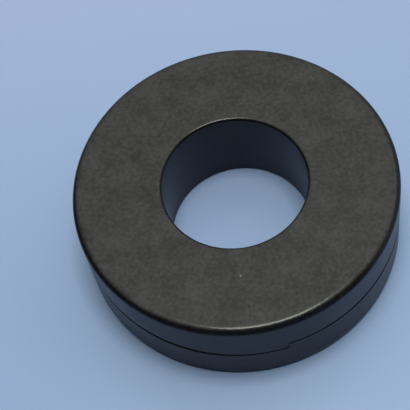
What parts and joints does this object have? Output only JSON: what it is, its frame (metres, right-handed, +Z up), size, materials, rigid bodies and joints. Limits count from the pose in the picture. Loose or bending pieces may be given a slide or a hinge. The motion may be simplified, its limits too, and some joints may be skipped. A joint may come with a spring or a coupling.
{
  "type": "nanocrystalline core",
  "caption": "Flat ring core of wound nanocrystalline strip, closed in a black moulded plastic case with a wide round bore and a ramped, stepped seam round its outer wall.",
  "frame": {"origin": "on the bore axis, in the plane of the underside that the core lies on", "axes": "+Z up along the bore axis; one step of the seam is near the -Y side, which faces the picture's camera"},
  "size_m": [0.1244, 0.1244, 0.037],
  "materials": {
    "case_plastic": "black moulded plastic, satin, with a fine grain",
    "wound_strip": "dull grey metal strip, wound edge on",
    "soft_bedding": "pale soft closed-cell foam"
  },
  "bodies": {
    "root": {"case_base": "case_plastic", "case_cover": "case_plastic", "ribbon_core": "wound_strip", "lower_cushion": "soft_bedding", "upper_cushion": "soft_bedding"}
  },
  "joints": []
}
